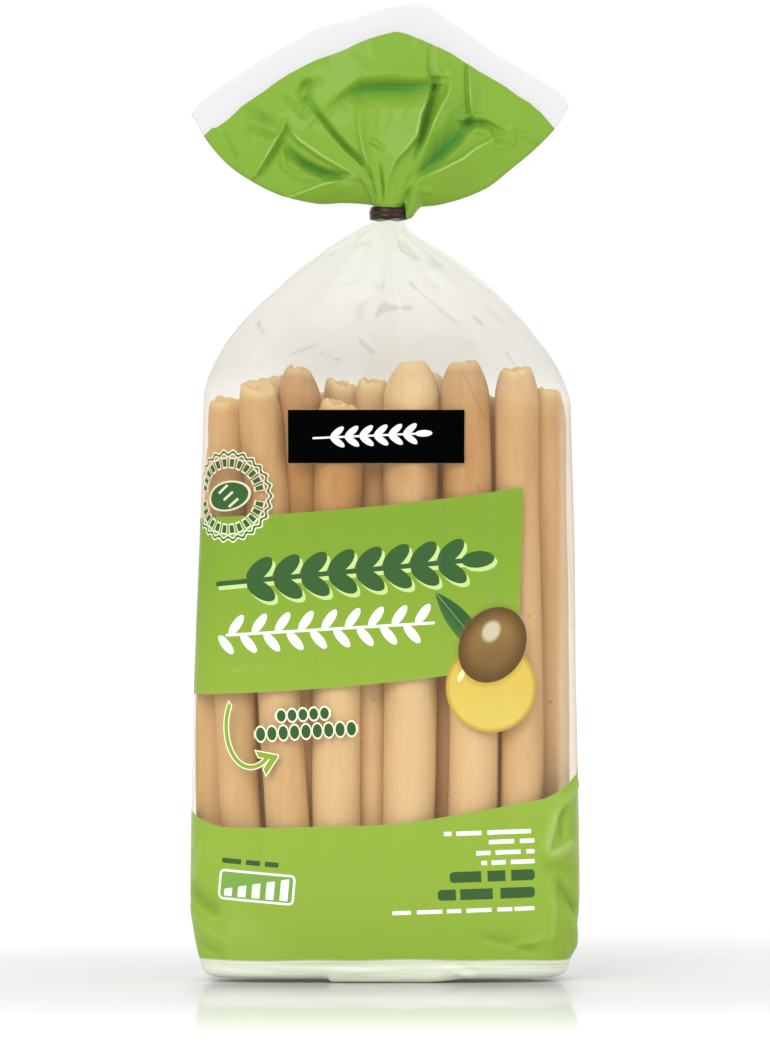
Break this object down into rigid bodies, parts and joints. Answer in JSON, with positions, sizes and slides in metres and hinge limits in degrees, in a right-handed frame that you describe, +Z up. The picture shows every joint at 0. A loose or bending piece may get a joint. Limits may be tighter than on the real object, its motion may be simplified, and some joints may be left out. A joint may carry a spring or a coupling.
{
  "type": "bag of grissini breadsticks",
  "caption": "Upright clear film bag filled with long grissini breadsticks, with printed green bands, a taped gathered neck and a pleated fan of film on top.",
  "frame": {"origin": "middle of the flat base that the bag stands on", "axes": "+Z up along the breadsticks to the fan, -Y towards the printed front, +X to the right of the front"},
  "size_m": [0.1156, 0.0576, 0.2899],
  "materials": {
    "film": "thin glossy film, clear with printed green bands, over the breadsticks",
    "tape": "dark brown wound tape, smooth, half glossy",
    "breadstick": "dry baked crust, matt and golden, lightly floured"
  },
  "bodies": {
    "root": {"film_bag": "film", "neck_tape": "tape"}
  },
  "joints": []
}
